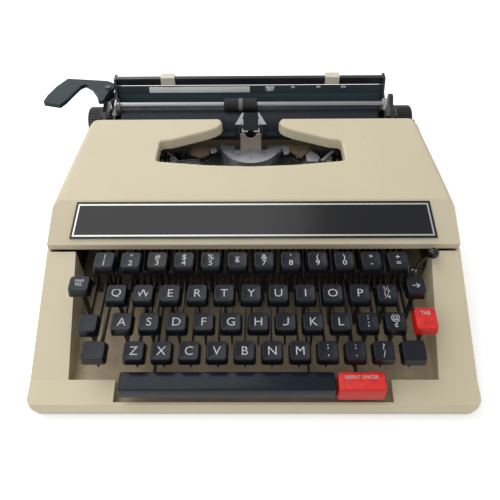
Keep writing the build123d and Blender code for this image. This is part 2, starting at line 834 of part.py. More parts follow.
def gear(teeth, width, module):
    """A spur gear about Z with narrow teeth, standing on Z = 0."""
    pitch = teeth * module / 2
    wheel = Cylinder(pitch - 1.25 * module, width)
    for index in range(teeth):
        outline = [
            (pitch - 1.6 * module, -0.62 * module), (pitch, -0.5 * module),
            (pitch + 0.75 * module, -0.22 * module), (pitch + 0.75 * module, 0.22 * module),
            (pitch, 0.5 * module), (pitch - 1.6 * module, 0.62 * module),
        ]
        tooth = extrude(make_face(Polyline(*outline, close=True)), amount=width)
        wheel += Rot(0, 0, 360 * index / teeth) * Pos(0, 0, -width / 2) * tooth
    return wheel


def escapement_wheel():
    """The pinion that runs on the carriage rack, and the toothed wheel on its shaft."""
    z = rack_pitch_z() - pinion_teeth * rack_module / 2
    turn = Rot(90, 0, 0)
    upright = Rot(0, 0, 90)
    pinion = Pos(0, rack_y + rack_width / 2, z) * turn * upright * gear(
        pinion_teeth, rack_width, rack_module
    )
    wheel_y = rack_y + rack_width
    wheel = Pos(0, wheel_y + wheel_width / 2, z) * turn * Cylinder(wheel_radius - 1.6, wheel_width)
    for index in range(wheel_teeth):
        points = [(wheel_radius - 2, -0.9), (wheel_radius, 0.5), (wheel_radius - 2, 0.7)]
        tooth = extrude(make_face(Polyline(*points, close=True)), amount=wheel_width)
        tooth = Pos(0, 0, -wheel_width / 2) * tooth
        wheel += (
            Pos(0, wheel_y + wheel_width / 2, z) * turn * Rot(0, 0, 360 * index / wheel_teeth) * tooth
        )
    axle = rod_y(axle_radius, 0, rail_y + rail_width / 2 - 3, wheel_y + wheel_width + 1, z)
    return [pinion + wheel + axle]


def mainspring_drum():
    drum = rod_y(drum_radius, drum_x, drum_y, drum_y + drum_width, drum_z)
    groove = rod_y(drum_radius + 1, drum_x, drum_y + 1.5, drum_y + drum_width - 1.5, drum_z)
    groove -= rod_y(drum_radius - 1.5, drum_x, drum_y, drum_y + drum_width, drum_z)
    shaft = rod_y(drum_shaft, drum_x, rail_y + 1, drum_y + drum_width + 1, drum_z)
    return [drum - groove + shaft]


def bell():
    """The margin bell, a domed cup on a post."""
    dome = Pos(bell_x, bell_y, bell_z) * (Sphere(bell_radius) - Sphere(bell_radius - 1.2))
    dome &= block(bell_x - 20, bell_x + 20, bell_y - 20, bell_y + 20, bell_z, bell_z + 20)
    post = rod_z(2.0, bell_x, bell_y, case_bottom + case_wall, bell_z + bell_radius - 1.0)
    return [dome - post, post]


def bed_edges():
    front = rail_y - rail_width / 2 - bed_gap
    back = rail_y + rail_width / 2 + bed_gap
    return front - bed_lip, front, back, back + bed_lip


def bracket_side(x0, x1):
    """An upright bearing bracket for the platen's shaft, outside an end plate."""
    y, z = platen_y, platen_z
    base = bed_top_z - 4
    outline = [
        (y - 9, z - 4), (y - 5, z - 12), (y + 3, base), (y + 17, base), (y + 17, z + 15),
        (y + 15, z + 17), (y + 11, z + 17), (y + 7, z + 13), (y - 2, z + 11.5), (y - 8, z + 6),
    ]
    return side_plate(outline, x0, x1)


def carriage_frame():
    """End plates, bearing brackets, the channel that runs on the rail, the rack and the margin rail."""
    y0, y1, y2, y3 = bed_edges()
    left = carriage_x - end_plate_inner
    right = carriage_x + end_plate_inner
    bed_base = rail_top_z + bed_gap
    frame = block(left, right, y0, y3, bed_base, bed_top_z)
    frame += block(left, right, y0, y1, bed_lip_z, bed_base)
    frame += block(left, right, y2, y3, bed_lip_z, bed_base)
    y, z = platen_y, platen_z
    rear = y3 + 2.0
    outline = [
        (y - 13, z - 12), (y - 7, z - 18), (y + 5, bed_lip_z), (y1, bed_lip_z), (y1, bed_base),
        (rear, bed_base), (rear, z + 12), (margin_rail_y + 5, margin_rail_top + 0.2),
        (margin_rail_y - 3, margin_rail_top + 0.2), (y + 15, z + 19), (y + 7, z + 16),
        (y - 5, z + 12), (y - 12, z + 4),
    ]
    for x0, x1 in ((left - end_plate, left), (right, right + end_plate)):
        frame += side_plate(outline, x0, x1)
    base = bed_top_z - 4
    for side, (near, far) in ((-1, left_bracket), (1, right_bracket)):
        x0, x1 = sorted((carriage_x + side * near, carriage_x + side * far))
        frame += bracket_side(x0, x1)
        foot_x0, foot_x1 = sorted((carriage_x + side * end_plate_inner, carriage_x + side * far))
        frame += block(foot_x0, foot_x1, y + 11.5, y + 17, base, base + 4)
    shelf_z = lever_plane_z - 7
    shelf = block(carriage_x - left_bracket[1], left, lever_pivot_y - 5, lever_pivot_y + 5, shelf_z, shelf_z + 3)
    post_top = lever_plane_z + return_lever_thick + 1
    post = rod_z(lever_pin, lever_pivot_x, lever_pivot_y, shelf_z, post_top)
    collar = rod_z(lever_pin + 1.8, lever_pivot_x, lever_pivot_y, shelf_z, lever_plane_z - 0.1)
    frame += shelf + post + collar
    frame += block(
        left, right, margin_rail_y - margin_rail_width / 2, margin_rail_y + margin_rail_width / 2,
        margin_rail_z, margin_rail_top,
    )
    for sign, x in ((-1, left), (1, right)):
        x0, x1 = sorted((x, x - sign * 2.6))
        frame += rod_x(bail_pin, x0, x1, bail_pivot_y, bail_pivot_z)
    frame += rack_bar(left, right)
    bore = shaft_radius + shaft_clearance
    frame -= rod_x(bore, carriage_x - left_bracket[1] - 1, carriage_x + right_bracket[1] + 1, platen_y, platen_z)
    feed_y, feed_z = feed_place()
    return [frame - rod_x(feed_shaft + pin_clearance, left - 5, right + 5, feed_y, feed_z)]


def rack_bar(left, right):
    """The toothed rack on the back of the bed, with its teeth pointing down."""
    pitch_z = rack_pitch_z()
    root_z = pitch_z + 1.25 * rack_module
    bar = block(left, right, bed_edges()[3], rack_y + rack_width, root_z, bed_top_z)
    step = math.pi * rack_module
    count = int((right - left) / 2 / step)
    teeth = []
    for index in range(-count, count):
        x = step * (math.floor(carriage_x / step) + index + 0.5)
        if x - 1 < left or x + 1 > right:
            continue
        outline = Polyline(
            (x - 0.85, root_z + 0.2), (x - 0.5, pitch_z), (x - 0.25, pitch_z - 0.75),
            (x + 0.25, pitch_z - 0.75), (x + 0.5, pitch_z), (x + 0.85, root_z + 0.2),
            close=True,
        )
        face = Plane(origin=(0, rack_y, 0), x_dir=(1, 0, 0), z_dir=(0, -1, 0)) * make_face(outline)
        teeth.append(extrude(face, amount=-rack_width))
    return bar.fuse(*teeth)


def feed_place():
    reach = platen_radius + feed_radius + feed_gap
    angle = math.radians(feed_angle)
    return platen_y + reach * math.sin(angle), platen_z - reach * math.cos(angle)


def feed_rollers():
    y, z = feed_place()
    left = carriage_x - end_plate_inner - end_plate
    right = carriage_x + end_plate_inner + end_plate
    shaft = rod_x(feed_shaft, left, right, y, z)
    span = 2 * end_plate_inner / 4.4
    places = [carriage_x + span * place for place in (-1.5, -0.5, 0.5, 1.5)]
    rollers = [rod_x(feed_radius, x - 14, x + 14, y, z) - shaft for x in places]
    return [shaft] + rollers


def platen():
    """The rubber roller on its shaft, with the line-space ratchet."""
    left, right = carriage_x - left_knob[0], carriage_x + right_knob[0]
    shaft = rod_x(shaft_radius, left, right, platen_y, platen_z)
    roller = rod_x(platen_radius, carriage_x - platen_half, carriage_x + platen_half, platen_y, platen_z)
    ratchet_at = carriage_x - ratchet_x
    ratchet = rod_x(ratchet_radius - 1.6, ratchet_at - ratchet_width, ratchet_at, platen_y, platen_z)
    for index in range(ratchet_teeth):
        points = [(ratchet_radius - 2, -1.1), (ratchet_radius, 0.6), (ratchet_radius - 2, 0.9)]
        tooth = extrude(make_face(Polyline(*points, close=True)), amount=ratchet_width)
        ratchet += (
            Pos(ratchet_at - ratchet_width, platen_y, platen_z)
            * Rot(0, 90, 0)
            * Rot(0, 0, 360 * index / ratchet_teeth)
            * tooth
        )
    return [shaft, roller - shaft, ratchet - shaft]


def platen_knobs():
    knobs = []
    for side, (near, far) in ((-1, left_knob), (1, right_knob)):
        x0, x1 = sorted((carriage_x + side * near, carriage_x + side * far))
        knob = rod_x(knob_radius, x0, x1, platen_y, platen_z)
        outer = knob.faces().sort_by(Axis.X)[-1 if side > 0 else 0]
        knobs.append(fillet(outer.edges(), knob_round))
    return knobs


def paper_table():
    """The sheet behind the platen that the paper leans on, from the bed up to the margin rail."""
    front = [
        (table_y, bed_top_z), (table_y + 0.5, platen_z + 17.2), (table_y + 2.1, platen_z + 22.6),
    ]
    back = [(y + table_thick, z) for y, z in reversed(front)]
    return [side_plate(front + back, carriage_x - end_plate_inner, carriage_x + end_plate_inner)]


def margin_stop(x):
    y0 = margin_rail_y - margin_rail_width / 2 - stop_gap
    y1 = margin_rail_y + margin_rail_width / 2 + stop_gap
    top = margin_rail_top + stop_gap
    half = stop_width / 2
    stop = block(x - half, x + half, y0 - stop_wall, y1 + stop_wall, margin_rail_z + 1.2, top + stop_wall)
    return [stop - block(x - half - 1, x + half + 1, y0, y1, margin_rail_z, top)]


def bail_place():
    reach = platen_radius + bail_roller_radius + bail_gap
    angle = math.radians(bail_angle)
    return platen_y - reach * math.cos(angle), platen_z + reach * math.sin(angle)


def paper_bail():
    """The rod that holds the paper to the platen, on its two swinging arms with finger tabs."""
    y, z = bail_place()
    bail = rod_x(bail_rod, carriage_x - bail_arm_x, carriage_x + bail_arm_x, y, z)
    left_tab = [
        (-2.4, 3.4), (-3.6, 6.9), (-4.0, 3.4), (-2.7, -6.1), (-2.2, -7.8), (4.1, -7.8), (4.8, -6.4), (0.1, 0.4),
    ]
    right_tab = [(0, 4.6), (2.0, 8.0), (2.9, 6.7), (2.9, 1.9), (2.3, -3.8), (1.0, -3.6)]
    for side, tab in ((-1, left_tab), (1, right_tab)):
        arm_x = carriage_x + side * bail_arm_x
        x0, x1 = sorted((arm_x, arm_x + side * bail_arm_thick))
        outline = [
            (y - 4, z - 3), (y - 4, z + 2), (y - 2, z + 3), (y + 3, z + 3), (y + 8, z - 4),
            (bail_pivot_y + 4, bail_pivot_z + 1), (bail_pivot_y + 2, bail_pivot_z - 4),
            (bail_pivot_y - 4, bail_pivot_z - 2), (y + 4, z - 9),
        ]
        bail += side_plate(outline, x0, x1)
        points = [(arm_x + side * across, z + up) for across, up in tab]
        face = Plane(origin=(0, y - 4, 0), x_dir=(1, 0, 0), z_dir=(0, -1, 0)) * make_face(
            Polyline(*points, close=True)
        )
        bail += extrude(face, amount=-bail_arm_thick)
        bail -= rod_x(bail_pin + pin_clearance, x0 - 1, x1 + 1, bail_pivot_y, bail_pivot_z)
    return [bail]


def bail_roller():
    y, z = bail_place()
    x0 = bail_roller_x - bail_roller_half
    x1 = bail_roller_x + bail_roller_half
    roller = rod_x(bail_roller_radius, x0, x1, y, z)
    roller = chamfer(roller.edges(), 0.6)
    return [roller - rod_x(bail_rod + pin_clearance, x0 - 1, x1 + 1, y, z)]


def return_lever():
    """The arched lever that turns the platen a line and pushes the carriage back."""
    outline = [
        (4.6, -0.5), (4.6, 6.5), (-2.5, 10.8), (-23.0, 13.1), (-38.0, 14.7), (-45.2, 2.4),
        (-49.8, -11.1), (-51.3, -20.7), (-36.4, -24.7), (-32.7, -18.6), (-27.9, -5.3), (-24.4, 3.0),
        (-20.9, 6.2), (-14.4, 0.6), (-8.1, -10.0), (-5.2, -19.0), (-1.2, -19.0), (1.4, -5.0),
    ]
    points = [(lever_pivot_x + x, lever_pivot_y + y) for x, y in outline]
    blade = plan_plate(points, lever_plane_z, lever_plane_z + return_lever_thick)
    uprights = blade.edges().filter_by(Axis.Z)
    blade = fillet(uprights, return_lever_round)
    bore = rod_z(lever_pin + pin_clearance, lever_pivot_x, lever_pivot_y, lever_plane_z - 1, lever_plane_z + 10)
    return [blade - bore]


def build_keys():
    """Every letter key is its own sub-part; the number and sign keys share one."""
    others = []
    for row, signs in enumerate(row_signs):
        for place, sign in enumerate(signs):
            x = row_first_x[row] + key_pitch * place
            pieces = key(x, row_y[row], row_z[row], row_tilt[row])
            if sign.isalpha():
                save(f"key_{sign}", pieces)
            else:
                others += pieces
    save("number_and_sign_keys", others)
    for name, place in function_keys.items():
        save(name, key(*place))
    save("shift_keys", shift_keys())
    save("space_bar", bar_key(*space_bar_x, space_skirt_z, space_arm_x))
    save("repeat_key", bar_key(*repeat_x, repeat_skirt_z, [repeat_arm_x]))


def build_all():
    save("lower_case", lower_case())
    save("rubber_feet", rubber_feet())
    save("top_cover", top_cover())
    save("name_panel", name_panel())
    save("main_frame", main_frame())
    save("key_comb", key_comb())
    save("type_segment", segment())
    save("type_bars", type_bars())
    save("type_guide", type_guide())
    save("ribbon_vibrator", ribbon_vibrator())
    save("ribbon_spool_left", ribbon_spool(-spool_x, ribbon_full))
    save("ribbon_spool_right", ribbon_spool(spool_x, ribbon_part))
    save("colour_selector", colour_selector())
    save("escapement_wheel", escapement_wheel())
    save("mainspring_drum", mainspring_drum())
    save("bell", bell())
    save("carriage_frame", carriage_frame())
    save("platen", platen())
    save("platen_knobs", platen_knobs())
    save("feed_rollers", feed_rollers())
    save("paper_table", paper_table())
    save("margin_stop_left", margin_stop(stop_x[0]))
    save("margin_stop_right", margin_stop(stop_x[1]))
    save("paper_bail", paper_bail())
    save("bail_roller", bail_roller())
    save("return_lever", return_lever())
    build_keys()


build_all()
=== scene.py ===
import bpy
import math
from mathutils import Matrix, Vector


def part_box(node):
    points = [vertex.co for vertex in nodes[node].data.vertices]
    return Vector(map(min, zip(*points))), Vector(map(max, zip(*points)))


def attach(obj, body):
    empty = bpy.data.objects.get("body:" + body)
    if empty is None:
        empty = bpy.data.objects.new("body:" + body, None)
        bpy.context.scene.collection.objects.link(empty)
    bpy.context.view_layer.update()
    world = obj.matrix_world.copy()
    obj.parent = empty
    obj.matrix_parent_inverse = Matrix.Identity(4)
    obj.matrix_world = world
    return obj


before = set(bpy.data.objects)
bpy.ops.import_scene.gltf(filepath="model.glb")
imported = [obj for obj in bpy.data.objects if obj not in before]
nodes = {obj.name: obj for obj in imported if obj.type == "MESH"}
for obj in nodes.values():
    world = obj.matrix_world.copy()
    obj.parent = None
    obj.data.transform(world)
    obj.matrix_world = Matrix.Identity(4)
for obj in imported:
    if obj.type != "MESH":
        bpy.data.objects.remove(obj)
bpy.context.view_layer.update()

MM = 0.001

# Heights and depths, in millimetres, at which a solid's material changes
case_floor_z = 7.0
disc_foot_z = 61.0
selector_ball_z = 52.0
finger_from_y = 71.1
guide_plate_top_z = 66.0
tab_cap_foot_z = 43.0
tab_cap_back_y = -83.0
repeat_cap_foot_z = 18.5
repeat_cap_back_y = -122.95
table_bend_z = 96.4
table_edge_z = 102.0
band_half = 1.6

# Camera, fitted to the photograph
camera_place = (2.73, -318.68, 379.11)
camera_pitch = 48.777
camera_yaw = -0.986
camera_roll = -0.902
view_angle = 47.50

# Keyboard layout, as in the photograph
row_legends = [
    ["!\n1", "\"\n2", "#\n3", "$\n4", "%\n5", "_\n6", "&\n7", "'\n8", "(\n9", ")\n0", "*\n-", "+\n="],
    ["Q", "W", "E", "R", "T", "Y", "U", "I", "O", "P", "½\n¼"],
    ["A", "S", "D", "F", "G", "H", "J", "K", "L", ":\n;", "@\n¢"],
    ["Z", "X", "C", "V", "B", "N", "M", ";\n,", ":\n.", "?\n/"],
]
key_pitch = 19.05
row_first_x = [-106.1, -96.2, -91.3, -81.8]
row_y = [-57.0, -78.0, -95.5, -113.6]
row_z = [70.2, 59.4, 50.0, 41.8]
row_tilt = [1.0, 3.0, 5.0, 7.0]
cap_size = (15.9, 15.9, 6.6)
cap_taper = 1.05
cap_corner = 2.4
cap_rim = 0.7
cap_edge = 0.45
cap_rise = 0.2
# The rings of a cap's dish: how far each draws in, and how far it goes down
dish_rings = ((0.86, 0.14), (0.72, 0.26), (0.5, 0.20))
# Each side key: its body, place, tilt, size and dish,
# then its letters, their height, their squeeze and how far up the cap they are
side_keys = [
    ("margin_release_key", (-122.9, -72.0, 62.5), 3.0, (16.1, 14.6, 6.6), 0.6, "MAR\nREL", 2.7, 0.9, 0.8),
    ("shift_lock_key", (-115.3, -95.6, 48.6), 5.0, (15.1, 15.7, 6.6), 0.6, "", 0, 1, 0),
    ("backspace_key", (114.9, -73.4, 61.5), 3.0, (14.6, 15.1, 6.6), 0.6, "→", 4.4, 1.5, 0),
    ("tab_key", (120.4, -93.6, 50.6), 5.0, (16.7, 18.5, 6.6), -0.6, "TAB", 3.0, 0.9, 4.0),
    ("shift_keys", (-109.6, -113.4, 41.8), 7.0, (17.7, 15.9, 6.6), 0.5, "", 0, 1, 0),
    ("shift_keys", (110.2, -113.6, 41.8), 7.0, (17.7, 16.9, 6.6), 0.5, "", 0, 1, 0),
]
lock_wire_radius = 0.2
bar_back_y = -123.95
bar_top_z = 31.3
bar_foot_z = {"space_bar": 21.9, "repeat_key": 18.9}
bar_cover = 0.05
bar_corner = 2.0
bar_edge = 1.1

# Letters, whose height is that of a capital
letter_height = 6.6
small_letter_height = 4.7
bar_letter_height = 2.7
capital_share = 0.72
line_spacing = 0.82

# The silver line round the panel, whose face climbs this far over this depth
panel_rise = 19.5
panel_depth = 29.0
border_inset = 1.7
border_width = 1.15
border_height = 0.12

# The plates on the paper table, from the bend in its front, all measured from the platen's middle
table_bend = 17.2
table_lean = 1.6 / 5.4
strip_top = 22.4
strip_height = 5.0
strip_ends = (-90.0, -2.6)
table_chips = ((11.0, 18.5, 4.7), (33.0, 36.5, 2.0), (55.0, 58.5, 2.0), (76.0, 80.5, 2.0))

# Bright pieces that lie in the type basket, by their corners
basket_z = 62.5
basket_plates = [
    [(-38.7, 79.0), (-32.6, 79.0), (-31.4, 73.5), (-36.5, 70.8)],
    [(24.6, 81.3), (31.6, 81.3), (31.2, 70.3), (26.8, 68.9)],
    [(45.2, 74.0), (49.5, 75.6), (57.9, 65.4), (55.7, 59.1), (46.3, 60.0)],
    [(58.0, 61.6), (60.4, 59.8), (71.0, 72.6), (68.6, 74.4)],
    [(-63.5, 60.7), (-65.9, 62.5), (-76.0, 73.7), (-73.6, 71.9)],
]


class Value:
    """A socket that can stand in a sum, which adds its Math nodes."""

    def __init__(self, socket, finish):
        self.socket = socket
        self.finish = finish

    def __add__(self, other):
        return self.finish.sum("ADD", self, other)

    def __radd__(self, other):
        return self.finish.sum("ADD", other, self)

    def __sub__(self, other):
        return self.finish.sum("SUBTRACT", self, other)

    def __rsub__(self, other):
        return self.finish.sum("SUBTRACT", other, self)

    def __mul__(self, other):
        return self.finish.sum("MULTIPLY", self, other)

    def __rmul__(self, other):
        return self.finish.sum("MULTIPLY", other, self)

    def __gt__(self, other):
        return self.finish.sum("GREATER_THAN", self, other)

    def __lt__(self, other):
        return self.finish.sum("LESS_THAN", self, other)


class Finish:
    """One material, with what varies over its surface."""

    def __init__(self, name, **constants):
        self.material = bpy.data.materials.new(name)
        self.material.use_nodes = True
        self.tree = self.material.node_tree
        self.surface = self.tree.nodes["Principled BSDF"]
        for socket, value in constants.items():
            self.surface.inputs[socket.replace("_", " ")].default_value = value
        self.place = self.node("ShaderNodeTexCoord", output="Object")

    def node(self, kind, output=0, stops=None, settings=None, sockets=None):
        """Add a node: its type, its settings or stops, then the values or links of its sockets."""
        node = self.tree.nodes.new(kind)
        for name, setting in (settings or {}).items():
            setattr(node, name, setting)
        if stops:
            self.set_stops(node.color_ramp, stops)
        for name, value in (sockets or {}).items():
            socket = node.inputs[name]
            if isinstance(value, Value):
                self.tree.links.new(value.socket, socket)
            elif socket.type == "RGBA":
                socket.default_value = (*value, 1)
            else:
                socket.default_value = value
        return Value(node.outputs[output], self)

    def set_stops(self, ramp, stops):
        while len(ramp.elements) < len(stops):
            ramp.elements.new(0.5)
        for element, (position, value) in zip(ramp.elements, stops):
            element.position = position
            element.color = (value, value, value, 1)

    def sum(self, operation, first, second):
        sockets = {0: first, 1: second}
        return self.node("ShaderNodeMath", settings={"operation": operation}, sockets=sockets)

    def noise(self, size_mm, detail=3.0, rough=0.55, stretch=(1, 1, 1)):
        """Noise whose lumps are about size_mm across."""
        vector = self.node("ShaderNodeMapping", sockets={"Vector": self.place, "Scale": stretch})
        sockets = {"Vector": vector, "Scale": 1 / (size_mm * MM), "Detail": detail, "Roughness": rough}
        return self.node("ShaderNodeTexNoise", output="Fac", sockets=sockets)

    def ramp(self, factor, *stops):
        """Grey values over a factor, as (position, value) stops."""
        return self.node("ShaderNodeValToRGB", stops=stops, sockets={"Fac": factor})

    def mix(self, factor, first, second):
        sockets = {0: factor, 6: first, 7: second}
        return self.node("ShaderNodeMix", 2, settings={"data_type": "RGBA"}, sockets=sockets)

    def height_mm(self, axis="Z"):
        """The place along one axis, in millimetres."""
        across = self.node("ShaderNodeSeparateXYZ", output=axis, sockets={"Vector": self.place})
        return across * (1 / MM)

    def facing(self, axis="Z"):
        """How far the surface faces along one axis."""
        normal = self.node("ShaderNodeNewGeometry", output="Normal")
        return self.node("ShaderNodeSeparateXYZ", output=axis, sockets={"Vector": normal})

    def set(self, socket, value):
        self.tree.links.new(value.socket, self.surface.inputs[socket])

    def roughness(self, low, high, *noise, ends=(0.3, 0.7)):
        """Roughness that wanders between two values over that noise."""
        self.set("Roughness", self.ramp(self.noise(*noise), (ends[0], low), (ends[1], high)))

    def bump(self, height, depth_mm, strength=1.0):
        sockets = {"Distance": depth_mm * MM, "Strength": strength, "Height": height}
        self.set("Normal", self.node("ShaderNodeBump", sockets=sockets))


def shade(colour, share):
    return tuple(value * share for value in colour)


def dusted(colour, share, haze):
    return tuple(min(1.0, value * share + haze) for value in colour)


def marked_cream(f, cream, dark):
    """Give a cream ground its scuffs, its sheen and its fine grain."""
    marks = f.ramp(f.noise(11, 5, 0.7), (0.64, 0.0), (0.82, 0.22))
    f.roughness(0.36, 0.5, 25, 4)
    f.bump(f.noise(0.5, 2, 0.6), 0.03, 0.5)
    return f.mix(marks, cream, shade(dark, 0.78))


def moulded_cream(name, light, dark):
    """Grained cream plastic, a little yellowed and marked by use."""
    f = Finish(name, Specular_IOR_Level=0.42)
    yellowed = f.mix(f.noise(60, 4), light, dark)
    specks = f.ramp(f.noise(2.2, 2, 0.6), (0.66, 0.0), (0.74, 1.0))
    f.set("Base Color", marked_cream(f, f.mix(specks, yellowed, shade(dark, 0.95)), dark))
    return f.material


def case_cream(name, light, dark, floor):
    """The lower case's cream, with the stained steel floor plate low down inside it."""
    f = Finish(name, Specular_IOR_Level=0.42)
    cream = marked_cream(f, f.mix(f.noise(60, 4), light, dark), dark)
    stained = f.mix(f.ramp(f.noise(22, 5, 0.6), (0.3, 0.0), (0.75, 1.0)), floor, shade(floor, 0.62))
    inside = (f.height_mm() < case_floor_z) * (f.facing() > 0.5)
    f.set("Base Color", f.mix(inside, cream, stained))
    return f.material


def smooth_plastic(name, colour, rough=0.22, scuff=0.06, gloss=0.5):
    """Glossy moulded plastic with the faintest dust."""
    f = Finish(name, Specular_IOR_Level=gloss)
    dust = f.ramp(f.noise(5, 4, 0.6), (0.35, 0.0), (0.85, 0.5))
    f.set("Base Color", f.mix(dust, colour, dusted(colour, 1.25, 0.004)))
    f.roughness(rough, rough + scuff, 9, 4, 0.6, ends=(0.3, 0.8))
    f.bump(f.noise(2.4, 3), 0.01, 0.25)
    return f.material


def key_plastic(name, top, sides, gloss=0.5):
    """A key's plastic, dusted, with its top face painted paler as a sheen of reflected light and its
    sides painted darker as shade.
    """
    f = Finish(name, Specular_IOR_Level=gloss)
    # Painted light: faces turned up take the top colour as a painted sheen, the others take the side
    # colour as painted shade
    sheen = f.ramp(f.facing(), (0.55, 0.0), (0.97, 1.0))
    dusty_painted_top = f.mix(f.ramp(f.noise(6, 3), (0.3, 0.0), (0.7, 1.0)), top, shade(top, 0.7))
    f.set("Base Color", f.mix(sheen, sides, dusty_painted_top))
    f.roughness(0.30, 0.36, 12, 3, ends=(0.3, 0.8))
    f.bump(f.noise(2.4, 3), 0.008, 0.25)
    return f.material


def red_key(name, red, steel, foot_z, back_y):
    """A red key's solid: its cap, over foot_z and before back_y, is red, and the rest is steel."""
    f = Finish(name, Specular_IOR_Level=0.3)
    cap = (f.height_mm() > foot_z) * (f.height_mm("Y") < back_y)
    f.set("Base Color", f.mix(cap, steel, red))
    f.set("Metallic", 1 - cap)
    f.roughness(0.34, 0.42, 12, 3, ends=(0.3, 0.8))
    f.bump(f.noise(2.4, 3), 0.008, 0.25)
    return f.material


def knob_plastic(name, colour, middle):
    """A knob's plastic, ribbed round its middle, which is a (y, z) place."""
    f = Finish(name, Specular_IOR_Level=0.4)
    angle = f.sum("ARCTAN2", f.height_mm("Z") - middle[1], f.height_mm("Y") - middle[0])
    ribs = f.sum("SINE", angle * 36, 0)
    dust = f.ramp(f.noise(5, 4, 0.6), (0.35, 0.0), (0.85, 0.5))
    f.set("Base Color", f.mix(dust, colour, shade(colour, 1.6)))
    f.roughness(0.28, 0.38, 9, 4, 0.6, ends=(0.3, 0.8))
    f.bump(ribs, 0.5, 0.7)
    return f.material


def selector_finish(name, ball, stem):
    """The colour selector: a glossy ball on a steel stem."""
    f = Finish(name)
    high = f.height_mm() > selector_ball_z
    f.set("Base Color", f.mix(high, stem, ball))
    f.set("Metallic", 1 - high)
    f.roughness(0.16, 0.3, 4, 4)
    f.bump(f.noise(1.0, 3), 0.01, 0.3)
    return f.material


def roller_rubber(name, dark, pale, middle_x):
    """The bail roller: rubber with a paler band round its middle."""
    f = Finish(name, Specular_IOR_Level=0.35)
    across = f.height_mm("X") - middle_x
    band = (across < band_half) * (across > -band_half)
    f.set("Base Color", f.mix(band, dark, pale))
    f.roughness(0.45, 0.6, 4, 4)
    f.bump(f.noise(0.35, 2, 0.7), 0.02, 0.5)
    return f.material


def table_enamel(name, upper, lower):
    """The paper table's enamel, painted paler below its bend as light falling on the lower face, and
    black along the top edge.
    """
    f = Finish(name, Specular_IOR_Level=0.2)
    # Painted light: below the bend the enamel takes the paler lower colour, a painted lit copy of the
    # upper colour
    low = f.ramp((f.height_mm() - table_bend_z) * 0.1 + 0.5, (0.45, 1.0), (0.55, 0.0))
    worn = f.ramp(f.noise(14, 5, 0.65), (0.5, 0.0), (0.85, 0.4))
    edge = (f.height_mm() > table_edge_z) * (f.facing() > 0.7)
    enamelled = f.mix(worn, f.mix(low, upper, lower), shade(upper, 1.7))
    f.set("Base Color", f.mix(edge, enamelled, shade(upper, 0.2)))
    f.set("Roughness", f.ramp(f.noise(6, 5), (0.3, 0.42), (0.75, 0.55)) + edge * 0.4)
    f.bump(f.noise(1.4, 2), 0.015, 0.3)
    return f.material


def plated_steel(name, colour, rough=0.3, along=(1, 8, 8), tarnish=0.4, metallic=1.0):
    """Plated steel with fine rolling lines and a little tarnish."""
    f = Finish(name, Metallic=metallic)
    stains = f.ramp(f.noise(9, 6, 0.7), (0.45, 0.0), (0.8, tarnish))
    f.set("Base Color", f.mix(stains, colour, shade(colour, 0.5)))
    lines = f.noise(1.2, 4, 0.6, stretch=along)
    f.set("Roughness", f.ramp(lines, (0.3, rough - 0.08), (0.7, rough + 0.12)))
    f.bump(lines, 0.012, 0.4)
    return f.material


def guide_metal(name, tan, silver, plate):
    """The type guide: a tan post, bright card fingers, and brown ribbon plates low down."""
    f = Finish(name)
    stained = f.mix(f.ramp(f.noise(5, 4), (0.35, 0.0), (0.75, 1.0)), tan, shade(tan, 0.8))
    fingers = f.height_mm("Y") > finger_from_y
    low = f.height_mm() < guide_plate_top_z
    worn = f.mix(f.ramp(f.noise(4, 5), (0.4, 0.0), (0.7, 1.0)), plate, shade(plate, 0.6))
    f.set("Base Color", f.mix(low, f.mix(fingers, stained, silver), worn))
    f.set("Metallic", fingers * (1 - low))
    f.roughness(0.26, 0.4, 3, 4)
    f.bump(f.noise(1.0, 3), 0.012, 0.4)
    return f.material


def bail_metal(name, rod, tab):
    """The paper bail: a steel rod between pale plated arms and tabs."""
    f = Finish(name)
    across = f.height_mm("X") * 0.004 + 0.5
    middle = f.ramp(across, (0.035, 0.0), (0.04, 1.0), (0.93, 1.0), (0.94, 0.0))
    f.set("Base Color", f.mix(middle, tab, rod))
    f.set("Metallic", middle)
    f.set("Roughness", f.ramp(f.noise(3, 4, stretch=(8, 1, 8)), (0.3, 0.3), (0.7, 0.46)))
    f.bump(f.noise(1.0, 3), 0.012, 0.4)
    return f.material


def segment_steel(name, ring, disc):
    """The type segment: dull steel round the slots, bright plating on the disc."""
    f = Finish(name, Metallic=1.0)
    stains = f.ramp(f.noise(6, 5, 0.65), (0.4, 0.0), (0.85, 0.5))
    dull = f.mix(stains, ring, shade(ring, 0.45))
    bright = f.mix(f.noise(14, 4), disc, shade(disc, 0.82))
    f.set("Base Color", f.mix(f.height_mm() > disc_foot_z, dull, bright))
    f.roughness(0.26, 0.4, 3, 4)
    f.bump(f.noise(1.0, 3), 0.012, 0.4)
    return f.material


def enamel(name, colour, rough):
    """Stoved enamel on sheet steel, faintly orange peeled."""
    f = Finish(name, Coat_Weight=0.3, Coat_Roughness=0.12)
    worn = f.ramp(f.noise(14, 5, 0.65), (0.5, 0.0), (0.85, 0.5))
    f.set("Base Color", f.mix(worn, colour, dusted(colour, 1.5, 0.006)))
    f.roughness(rough, rough + 0.12, 6, 5, ends=(0.3, 0.75))
    f.bump(f.noise(1.4, 2), 0.015, 0.3)
    return f.material


def rubber(name, colour, rough):
    """Dusty rubber with a fine grain."""
    f = Finish(name, Specular_IOR_Level=0.35)
    f.set("Base Color", f.mix(f.noise(12, 5, 0.6), colour, dusted(colour, 1.5, 0.004)))
    f.roughness(rough - 0.1, rough + 0.1, 4, 4)
    f.bump(f.noise(0.35, 2, 0.7), 0.02, 0.5)
    return f.material


